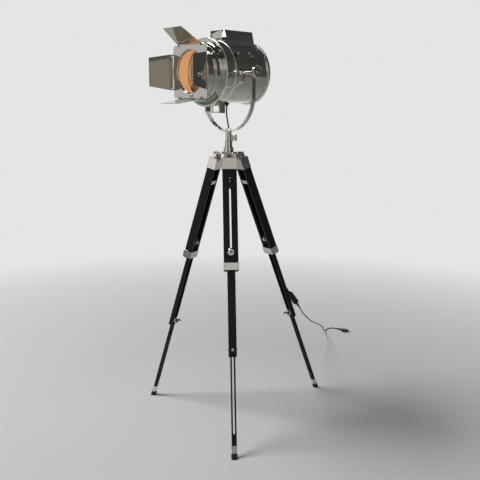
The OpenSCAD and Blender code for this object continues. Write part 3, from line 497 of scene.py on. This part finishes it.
def head_spot(s, r, turn):
    """A place on the head's round sides with its outward direction, for a screw."""
    a = math.radians(turn)
    return (r * math.cos(a), -s, TILT_Z + r * math.sin(a)), (math.cos(a), 0, math.sin(a))


def bead(s, r, size, first, last):
    """Points (s, r) of a rolled bead's section, from one angle to another about its centre."""
    angles = [math.radians(first + (last - first) * k / 10) for k in range(11)]
    return [(s + size * math.sin(a), r + size * math.cos(a)) for a in angles]


def spun(name, section, material):
    """A closed section of (s, r) points spun about the lens axis; a point with r = 0 closes the end."""
    bm = bmesh.new()
    rows = []
    for s, r in section:
        count = 180 if r > 0 else 1
        rows.append([bm.verts.new(head_point(s, r, 360 * k / count)) for k in range(count)])
    skin(bm, rows + rows[:1])
    bmesh.ops.recalc_face_normals(bm, faces=bm.faces)
    return from_bmesh(name, bm, material, SHARP)


def rub(piece, bands):
    """Gives the rubbed finish, whose lighter tone is a painted highlight, to the faces that lie from s0 to s1 and at
    least low out from the lens axis.
    """
    piece.data.materials.append(RUBBED_PAINTED_HIGHLIGHT)
    for face in piece.data.polygons:
        s = -face.center.y / MM
        r = math.hypot(face.center.x, face.center.z - TILT_Z * MM) / MM
        if any(s0 <= s <= s1 and r >= low for s0, s1, low in bands):
            face.material_index = len(piece.data.materials) - 1
    return piece


def make_flange():
    """Cone with a rolled bead at its back and a wider one around the glass."""
    section = [(62, 119.6), (62, 121), (63, 121.6), (68, 121.8)]
    section += bead(72.5, 124, 2.6, -70, 60)
    section += [(78, 126.0), (100, 129.4), (121, 132.4)]
    section += bead(126, 131.3, 2.8, -40, 150)
    section += [(127.5, 127.2), (126.2, 127), (126, 131), (100, 127.6), (75, 123), (72, 119.6)]
    # The beads take the rubbed finish with its painted highlight.
    stand_for(rub(spun("flange_spun", section, SHEET), ((69.5, 77, 122.5), (123, 130, 131.5))), "flange")


def make_rear_cap():
    """Shallow lid with a rolled rim, a pressed step and a low dome, and slots for the warm air."""
    section = [(-105, 119.6), (-105, 122.5)] + bead(-107.5, 122.6, 2.5, 80, 0) + bead(-116, 122, 3, 0, -90)
    section += [(-119, 112), (-118.4, 108), (-117, 106), (-117, 60), (-118.8, 30), (-119, 0)]
    section += [(-115.5, 0), (-115.5, 105), (-112, 113), (-112, 119.6)]
    # The rim takes the rubbed finish with its painted highlight.
    cap = rub(spun("rear_cap_spun", section, SHEET), ((-112, -104, 122.8),))
    cutters = bmesh.new()
    for k in range(12):
        spoke = 30 * k + 15
        outline = ((70, -4), (98, -4), (98, 4), (70, 4))
        add_prism(cutters, *([slot_point(s, x, y, spoke) for x, y in outline] for s in (-125, -110)))
    cut_away(cap, cutters)
    stand_for(cap, "rear_cap")


def slot_point(s, x, y, turn):
    """A point of a slot that lies along a spoke of the head."""
    a = math.radians(turn)
    return Vector((x * math.cos(a) - y * math.sin(a), -s, TILT_Z + x * math.sin(a) + y * math.cos(a))) * MM


def cut_away(piece, cutters):
    """Cuts the cutters' solids out of a piece and applies the cut."""
    mesh = bpy.data.meshes.new("cutters")
    cutters.to_mesh(mesh)
    cutters.free()
    tool = add_object("cutters", mesh)
    cut = piece.modifiers.new("cut", "BOOLEAN")
    cut.operation = "DIFFERENCE"
    cut.object = tool
    cut.solver = "EXACT"
    apply_modifiers(piece)
    bpy.data.objects.remove(tool)
    write_back(piece, open_mesh(piece.data))


def apply_modifiers(piece):
    """Replaces a piece's mesh by what its modifiers make of it."""
    depsgraph = bpy.context.evaluated_depsgraph_get()
    done = bpy.data.meshes.new_from_object(piece.evaluated_get(depsgraph))
    piece.modifiers.clear()
    piece.data = done


def make_sleeve():
    """Lens collar with a bead at each end, and the plate round it that holds it to the flange."""
    section = [(128, 111), (128, 113)] + bead(131, 113, 2, -80, 80) + [(140, 113), (150, 113.2)]
    section += bead(163.5, 113, 2.4, -80, 80) + [(168, 113), (168, 108.2), (162, 108.2), (162, 111)]
    section += [(144, 111), (144, 108.2), (138, 108.2), (138, 111)]
    collar = spun("lens_collar_spun", section, SHEET)
    bm = open_mesh(collar.data)
    add_ring_plate(bm, 128.1, RING_PLATE_S, 112, 130.5, -48, 228)
    write_back(collar, bm)
    stand_for(collar, "sleeve")


def add_ring_plate(bm, s0, s1, r0, r1, first, last):
    """A flat plate bent round the lens axis from one turn to another."""
    corners = ((s0, r0), (s1, r0), (s1, r1), (s0, r1))
    turns = [first + (last - first) * k / 138 for k in range(139)]
    rows = [[bm.verts.new(head_point(s, r, turn)) for s, r in corners] for turn in turns]
    made = [bm.faces.new(rows[0]), bm.faces.new(rows[-1])] + skin(bm, rows)
    bmesh.ops.recalc_face_normals(bm, faces=made)


# ------------------------------------------------------------------ screws, placed by geometry nodes
def screw_shape(radius, height, slot, material):
    """A domed screw head along +Z with a straight slot, as a mesh object to be repeated."""
    bm = bmesh.new()
    profile = ((1, 0.0), (1, 0.45), (0.9, 0.75), (0.62, 0.95), (0, 1))
    rings = []
    for across, up in profile:
        r = radius * across
        turns = circle(20 if r else 1)
        rings.append([bm.verts.new(Vector((r * c, r * s, height * up)) * MM) for c, s in turns])
    skin(bm, rings)
    bm.faces.new(rings[0][::-1])
    piece = from_bmesh("screw_shape", bm, material, 50)
    if slot:
        cutters = bmesh.new()
        bmesh.ops.create_cube(cutters, size=1)
        size = Matrix.Diagonal((radius * 2.4 * MM, slot * MM, height * MM, 1))
        cutters.transform(Matrix.Translation((0, 0, height * MM)) @ size)
        cut_away(piece, cutters)
    return piece


def screws_at(name, places, radius, height, material, slot=0.9):
    """Screws at (point, outward direction) pairs, as one mesh. Points in millimetres."""
    shape = screw_shape(radius, height, slot, material)
    mesh = bpy.data.meshes.new(name)
    mesh.from_pydata([Vector(point) * MM for point, _ in places], [], [])
    aim = mesh.attributes.new("aim", "FLOAT_VECTOR", "POINT")
    for k, (_, way) in enumerate(places):
        aim.data[k].vector = Vector(way).normalized()
    piece = add_object(name, mesh)
    tree = bpy.data.node_groups.new(name + "_tree", "GeometryNodeTree")
    tree.interface.new_socket("Geometry", in_out="INPUT", socket_type="NodeSocketGeometry")
    tree.interface.new_socket("Screw", in_out="INPUT", socket_type="NodeSocketObject")
    tree.interface.new_socket("Finish", in_out="INPUT", socket_type="NodeSocketMaterial")
    tree.interface.new_socket("Geometry", in_out="OUTPUT", socket_type="NodeSocketGeometry")
    entry, last = tree.nodes.new("NodeGroupInput"), tree.nodes.new("NodeGroupOutput")
    info = tree.nodes.new("GeometryNodeObjectInfo")
    put = tree.nodes.new("GeometryNodeInstanceOnPoints")
    named = tree.nodes.new("GeometryNodeInputNamedAttribute")
    named.data_type = "FLOAT_VECTOR"
    named.inputs["Name"].default_value = "aim"
    align = tree.nodes.new("FunctionNodeAlignRotationToVector")
    align.axis = "Z"
    real = tree.nodes.new("GeometryNodeRealizeInstances")
    finish = tree.nodes.new("GeometryNodeSetMaterial")
    link = tree.links.new
    link(entry.outputs["Geometry"], put.inputs["Points"])
    link(entry.outputs["Screw"], info.inputs["Object"])
    link(info.outputs["Geometry"], put.inputs["Instance"])
    link(named.outputs["Attribute"], align.inputs["Vector"])
    link(align.outputs["Rotation"], put.inputs["Rotation"])
    link(put.outputs["Instances"], real.inputs["Geometry"])
    link(real.outputs["Geometry"], finish.inputs["Geometry"])
    link(entry.outputs["Finish"], finish.inputs["Material"])
    link(finish.outputs["Geometry"], last.inputs["Geometry"])
    modifier = piece.modifiers.new("repeat", "NODES")
    modifier.node_group = tree
    sockets = {item.name: item.identifier for item in tree.interface.items_tree if item.in_out == "INPUT"}
    modifier[sockets["Screw"]] = shape
    modifier[sockets["Finish"]] = material
    apply_modifiers(piece)
    bpy.data.objects.remove(shape)
    return piece


def make_chimney():
    """Chimney with a bent corner at each side of its front, and rivets along its sides."""
    bm = clean_copy("chimney")
    bevel_edges(bm, 0.8)
    plates = []
    for side in (1, -1):
        corners = ((40, 165, 60), (14, 101, 60), (56, 101, 49))
        top, inner, outer = (Vector((side * x, -s, TILT_Z + up)) * MM for x, up, s in corners)
        out = (inner - top).cross(outer - top).normalized()
        out = -out if out.y > 0 else out
        everything = bm.verts[:] + bm.edges[:] + bm.faces[:]
        bmesh.ops.bisect_plane(bm, geom=everything, plane_co=top, plane_no=out, clear_outer=True)
        front = (top, inner, outer)
        plates.append((front, [point - out * 1.5 * MM for point in front]))
    for front, back in plates:
        add_prism(bm, front, back)
    stand_for(from_bmesh("chimney_bent", bm, SHEET), "chimney")
    spots = []
    for side in (1, -1):
        for s, up in ((44, 106), (-28, 106), (-88, 106), (-72, 146)):
            x = CHIMNEY_HALF_W - CHIMNEY_LEAN_IN * (up - CHIMNEY_FOOT) / CHIMNEY_H
            spots.append(((side * x, -s, TILT_Z + up), (side * 0.972, 0, 0.237)))
    ride_new(screws_at("chimney_rivets", spots, 2.2, 1.3, CAST, slot=0), "head")


KNOB_FACE = [(-0.5, 0), (-0.5, 22), (0.2, 22.4), (1.3, 21.8), (1.7, 20.6), (1.3, 19.4), (0.3, 18.8), (0.3, 9),
    (1.6, 8.6), (1.6, 6.6), (4.6, 6.2), (5.4, 4.6), (5.4, 0)]


def make_knob_faces():
    """Raised rim and a domed nut on the face of each head knob."""
    faces = (("lever_knob", 1, 1), ("far_knob", -1, 0.72))
    for knob, side, size in faces:
        section = [(h, r * size) for h, r in KNOB_FACE]
        face = turned_on(knob + "_face", (side * HEAD_KNOB_X, 0, TILT_Z), (side, 0, 0), section, CAST)
        ride_new(face, knob)


def leg_point(i, x, y, t):
    """A point in leg i's own frame: x towards its outer face, y across it, t down from its pivot."""
    lean, turn = math.radians(LEG_LEAN[i]), math.radians(LEG_TURNS[i])
    out = PIVOT_R + x * math.cos(lean) + t * math.sin(lean)
    up = PIVOT_H + x * math.sin(lean) - t * math.cos(lean)
    return (out * math.cos(turn) - y * math.sin(turn), out * math.sin(turn) + y * math.cos(turn), up)


def leg_way(i):
    """The outward direction of leg i's outer face."""
    lean, turn = math.radians(LEG_LEAN[i]), math.radians(LEG_TURNS[i])
    return (math.cos(lean) * math.cos(turn), math.cos(lean) * math.sin(turn), math.sin(lean))


def make_leg_screws():
    """Socket screw in each locking knob, the end of each band's strap, and the screws of the caps and bands."""
    for i in range(3):
        name = f"leg_{i + 1}_"
        knob_face = leg_point(i, LOCK_FACE_X, 0, LOCK_AT)
        bush = turned_on(name + "knob_bush", knob_face, leg_way(i),
            [(-1, 0), (-1, 6.2), (0.5, 6.2), (0.9, 5.7), (0.9, 0)], RUBBER, 32)
        ride_new(bush, name + "lock")
        bolt = turned_on(name + "knob_bolt", knob_face, leg_way(i),
            [(-1, 0), (-1, 3), (1.4, 3), (1.9, 2.2), (1.9, 0)], CAST, 24)
        ride_new(bolt, name + "lock")
        strap = bmesh.new()
        for x0, x1, y0, y1 in ((19.2, 20.1, -17, 31.6), (-19.2, 20.1, 30.7, 31.6)):
            outline = ((x0, y0), (x1, y0), (x1, y1), (x0, y1))
            ends = (BAND_AT - BAND_H / 2, BAND_AT + BAND_H / 2)
            add_prism(strap, *([Vector(leg_point(i, x, y, t)) * MM for x, y in outline] for t in ends))
        ride_new(from_bmesh(name + "strap_end", strap, SHEET), name + "upper")
        spots = [(leg_point(i, 19.25, -23.5, BAND_AT), leg_way(i))]
        ride_new(screws_at(name + "strap_screw", spots, 3, 1.5, CAST, slot=0.7), name + "upper")
        across = Vector(leg_point(i, 0, 1, 0)) - Vector(leg_point(i, 0, 0, 0))
        spots = [(leg_point(i, 0, side * BAND_HALF_W, t), across * side)
            for side in (1, -1) for t in (CAP_SCREW_AT, BAND_AT)]
        ride_new(screws_at(name + "side_screws", spots, 3, 1.6, CAST, slot=0.7), name + "upper")


def make_front_screws():
    """Screws and dark washers of the lens collar and the flange; rivets and one knob on the plate."""
    spots = [head_spot(150, 113, -6), head_spot(150, 113, 174)]
    spots += [(tuple(head_point(RING_PLATE_S, 122, turn) / MM), (0, -1, 0)) for turn in (-8, 38, 142, 188)]
    ride_new(screws_at("collar_screws", spots, 3.4, 2, CAST, slot=0.8), "head")
    section = [(-1.5, 0), (-1.5, 6.2), (0.9, 6.2), (1.5, 5.4), (1.5, 0)]
    for k, (s, r) in enumerate(((150, 112.8), (118, 131.2))):
        for side, turn in enumerate((-6, 186)):
            place, way = head_spot(s, r, turn)
            washer = turned_on(f"dark_washer_{k}_{side}", place, way, section, RUBBER, 32)
            ride_new(washer, "head")
    spots = [((x, -PLATE_S, TILT_Z + z), (0, -1, 0)) for x in (-93, 93) for z in (-60, 0, 60)]
    ride_new(screws_at("plate_rivets", spots, 1.9, 1.0, CAST, slot=0), "barn_door")
    knob = turned_on("plate_screw", (8, -PLATE_S, TILT_Z - 92.5), (0, -1, 0),
        [(-0.5, 0), (-0.5, 9), (1, 9), (1.4, 8), (1.2, 6), (4.4, 5.6), (5.4, 4.4), (5.6, 0)], CAST, 32)
    ride_new(knob, "barn_door")


def walk(line, distance):
    """The point and the direction at a distance along a line, in millimetres."""
    gone = 0.0
    for here, there in zip(line, line[1:]):
        step = (there - here).length / MM
        if gone + step >= distance:
            return here.lerp(there, (distance - gone) / step), (there - here).normalized()
        gone += step
    return line[-1], (line[-1] - line[-2]).normalized()


def cord_relief(name, line):
    """Ribbed, tapered sleeve on the cord, from a piece's end and along the cord's line."""
    wide, narrow, rib_deep, reach, steps = 5.6, 3.7, 0.75, 26, 28
    bm = bmesh.new()
    rows = []
    side = None
    for k in range(steps + 1):
        distance = reach * k / steps
        centre, way = walk(line, distance)
        side = way.orthogonal().normalized() if side is None else (side - way * side.dot(way)).normalized()
        other = way.cross(side)
        groove = rib_deep if k % 4 in (2, 3) and k < steps else 0
        r = wide + (narrow - wide) * distance / reach - groove
        rows.append([bm.verts.new(centre + (side * c + other * s) * r * MM) for c, s in circle(20)])
    skin(bm, rows)
    bm.faces.new(rows[0])
    bm.faces.new(rows[-1])
    bmesh.ops.recalc_face_normals(bm, faces=bm.faces)
    return ride_new(from_bmesh(name, bm, PLASTIC, 50), "base")


def nearest(line, point):
    """The number of the line's point that is nearest to a point in millimetres."""
    return min(range(len(line)), key=lambda k: (line[k] - Vector(point) * MM).length)


def make_reliefs():
    """The sleeves at both ends of the switch and behind the plug."""
    line = smooth_line(CORD_ROUTE, 8)
    upper, lower = nearest(line, (22, 358, 487)), nearest(line, (33, 405, 426))
    return [cord_relief("switch_relief_upper", line[upper::-1]),
        cord_relief("switch_relief_lower", line[lower:]), cord_relief("plug_relief", line[::-1])]


def make_glass():
    """Heat glass, ground at its edge."""
    section = [(128, 0), (128, 108), (128, 125.5), (127.2, 126.5), (124.8, 126.5), (124, 125.5), (124, 108), (124, 0)]
    lens = spun("heat_glass", section, GLASS)
    lens.data.materials.append(GLASS_RIM)
    for face in lens.data.polygons:
        if math.hypot(face.center.x, face.center.z - TILT_Z * MM) > CLEAR_GLASS_R * MM:
            face.material_index = 1
    stand_for(lens, "lens_glass")


def make_lining():
    """Warm lining inside the lens collar and the barn door's tube; it turns with the barn door."""
    section = [(129.2, 105.9), (200.5, 105.9), (200.5, 105.2), (129.2, 105.2)]
    # The lining glows with painted light.
    lining = spun("tube_lining", section, WARM)
    ride_new(lining, "barn_door")


def make_screws():
    """Slotted screws of the drum, its strips and the flange, and the chimney's knob."""
    rights = [(40, 125, 34), (-22, 125, 36), (-34, 125, 30), (-98, 125, 29), (34.5, 119.5, -54), (-44.6, 119.5, -54),
        (118, 132, -6)]
    lefts = [(s, r, 180 - turn) for s, r, turn in rights]
    screws = screws_at("head_screws_slotted", [head_spot(*place) for place in rights + lefts], 4, 2.6, CAST)
    bm = open_mesh(screws.data)
    profile = [(3, 59.5), (3, 64), (5.2, 64.6), (6, 66), (6, 68), (5, 69.6), (2.5, 70)]
    rings = [[bm.verts.new(Vector((r * across, -s, TILT_Z + CHIMNEY_KNOB + r * up)) * MM) for across, up in circle(24)]
        for r, s in profile]
    made = skin(bm, rings) + [bm.faces.new(rings[0]), bm.faces.new(rings[-1])]
    bmesh.ops.recalc_face_normals(bm, faces=made)
    write_back(screws, bm)
    stand_for(screws, "head_screws")


# ------------------------------------------------------------------ finished nodes
def dress_all():
    """Every CAD node that keeps its shape, with its finish and its edge rounding in millimetres."""
    plan = {
        "drum": (SHEET, 0.4), "vent_covers": (SHEET, 0.3), "barn_plate": (SHEET, 0.3), "yoke": (SHEET, 0.5),
        "hinge_rods": (CAST, 0.3), "leaf_top": (LEAF, 0.3), "leaf_bottom": (LEAF, 0.3), "leaf_left": (LEAF, 0.3),
        "leaf_right": (LEAF, 0.3), "hub": (CAST, 0.8), "hub_collar": (CAST, 0.8), "thumb_screw": (CAST, 0.6),
        "pivot_bolts": (CAST, 0.5), "stem": (CAST, 0.4), "lever_knob": (CAST, 0.8), "far_knob": (CAST, 0.8),
        # The reflector takes the warm lining, with its glow of painted light.
        "lower_bracket": (CAST, 0.3), "reflector": (WARM, 0.0), "bulb": (PEARL, 0.0),
        "lamp_holder": (PLASTIC, 0.5), "head_gland": (PLASTIC, 0.5), "switch_rocker": (PLASTIC, 0.4),
        "switch_body": (PLASTIC, 2.0), "plug": (PLASTIC, 0.8)}
    for i in range(3):
        leg = f"leg_{i + 1}_"
        plan.update({leg + part: (CAST, 0.6) for part in ("cap", "band", "wing", "shoe")})
        plan[leg + "lock"] = (CAST, 0.3)
        plan.update({leg + part: (WOODS[i], 1.2) for part in ("upper", "middle", "lower")})
        plan[leg + "foot"] = (RUBBER, 1.0)
    return {node: dressed(node, material, edge) for node, (material, edge) in plan.items()}


# ------------------------------------------------------------------ stage
def make_floor():
    """A round pale floor that fades out towards its edge."""
    bm = bmesh.new()
    bmesh.ops.create_circle(bm, cap_ends=True, segments=96, radius=4.2)
    paint = Paint("studio_floor", Roughness=0.8)
    spot = paint.node("ShaderNodeTexCoord", out="Object")
    away = paint.node("ShaderNodeVectorMath", {"operation": "LENGTH"}, {0: spot}, out="Value")
    paint.set("Base Color", (PALE, PALE, PALE, 1))
    paint.set("Alpha", paint.band(away, 0.9, 3.4, 1, 0))
    from_bmesh("studio_floor", bm, paint.material)


def make_world():
    """Pale ahead of the camera, dimmer behind it and dark at its sides, which the metal mirrors."""
    world = bpy.data.worlds.new("studio")
    bpy.context.scene.world = world
    world.use_nodes = True
    tree = world.node_tree
    tree.nodes.clear()
    out = tree.nodes.new("ShaderNodeOutputWorld")
    sky = tree.nodes.new("ShaderNodeBackground")
    way = tree.nodes.new("ShaderNodeTexCoord")
    split = tree.nodes.new("ShaderNodeSeparateXYZ")
    tree.links.new(way.outputs["Generated"], split.inputs[0])
    aim = tree.nodes.new("ShaderNodeVectorMath")
    aim.operation = "DOT_PRODUCT"
    aim.inputs[1].default_value = (-0.73, 0.68, 0)
    tree.links.new(way.outputs["Generated"], aim.inputs[0])
    up, ahead = split.outputs["Z"], aim.outputs["Value"]
    # Above the horizon: a backdrop and a dim wall, both cut off by a dark ceiling
    backdrop = world_band(tree, ahead, 0.60, 0.92, 0.1, 1.0)
    wall_behind = world_band(tree, ahead, -0.95, -0.6, 0.42, 0.1)
    walls = world_math(tree, "MAXIMUM", backdrop, wall_behind)
    above = world_math(tree, "MULTIPLY", world_band(tree, up, 0.30, 0.52, 1.0, 0.0), walls)
    # Below it: light from the ground past the floor's edge, brighter ahead
    ground = world_band(tree, up, -0.25, 0.0, 0.7, 0.0)
    below = world_math(tree, "MULTIPLY", ground, world_band(tree, ahead, 0.3, 0.9, 0.45, 1.0))
    shade = world_band(tree, world_math(tree, "MAXIMUM", above, below), 0.0, 1.0, 0.05, PALE)
    tone = tree.nodes.new("ShaderNodeCombineColor")
    for channel in tone.inputs[:3]:
        tree.links.new(shade, channel)
    tree.links.new(tone.outputs[0], sky.inputs["Color"])
    tree.links.new(sky.outputs[0], out.inputs[0])


def make_lamps():
    """Soft boxes: the key and three in front, a small one behind for the drum's top, and one high above."""
    lamp("key", (3.1, -2.3, 3.1), (0, 0, 1.2), (3.2, 2.2), 11)
    lamp("front_panel", (-2.6, -2.3, 1.6), (0, 0, 1.4), (2.0, 1.8), 6)
    lamp("front_low", (-0.9, -3.5, 1.1), (0, 0, 1.3), (1.5, 1.7), 6.5)
    lamp("front_strip", (3.3, -0.9, 1.35), (0, 0, 1.25), (0.45, 1.8), 3)
    lamp("back_box", (0.3, 1.42, 3.45), (0, 0, 1.45), (0.5, 0.16), 2.2)
    lamp("top", (-1.2, -1.2, 4.2), (0, 0, 1.0), (1.3, 1.3), 110)


def world_math(tree, operation, first, second):
    """Combines two brightnesses."""
    made = tree.nodes.new("ShaderNodeMath")
    made.operation = operation
    tree.links.new(first, made.inputs[0])
    tree.links.new(second, made.inputs[1])
    return made.outputs[0]


def world_band(tree, value, low, high, to_low, to_high):
    """Maps a direction's value to a brightness, held at the ends."""
    made = tree.nodes.new("ShaderNodeMapRange")
    made.interpolation_type = "SMOOTHSTEP"
    for name, size in (("From Min", low), ("From Max", high), ("To Min", to_low), ("To Max", to_high)):
        made.inputs[name].default_value = size
    tree.links.new(value, made.inputs["Value"])
    return made.outputs[0]


def lamp(name, place, target, size, power):
    """A soft box that points at a target."""
    data = bpy.data.lights.new(name, "AREA")
    data.shape = "RECTANGLE"
    data.size, data.size_y = size
    data.energy = power
    light = bpy.data.objects.new(name, data)
    light.location = place
    light.rotation_euler = (Vector(target) - Vector(place)).to_track_quat("-Z", "Y").to_euler()
    bpy.context.scene.collection.objects.link(light)


bpy.context.scene.view_settings.view_transform = "Standard"
set_camera()
FLEX, FLEX_PATH = make_cords()
PIECES = dress_all()
RELIEFS = make_reliefs()
sum((b - a).length for a, b in zip(FLEX_PATH, FLEX_PATH[1:]))
make_flange()
make_rear_cap()
make_sleeve()
make_glass()
make_lining()
make_screws()
make_chimney()
make_knob_faces()
make_leg_screws()
make_front_screws()
make_floor()
make_world()
make_lamps()
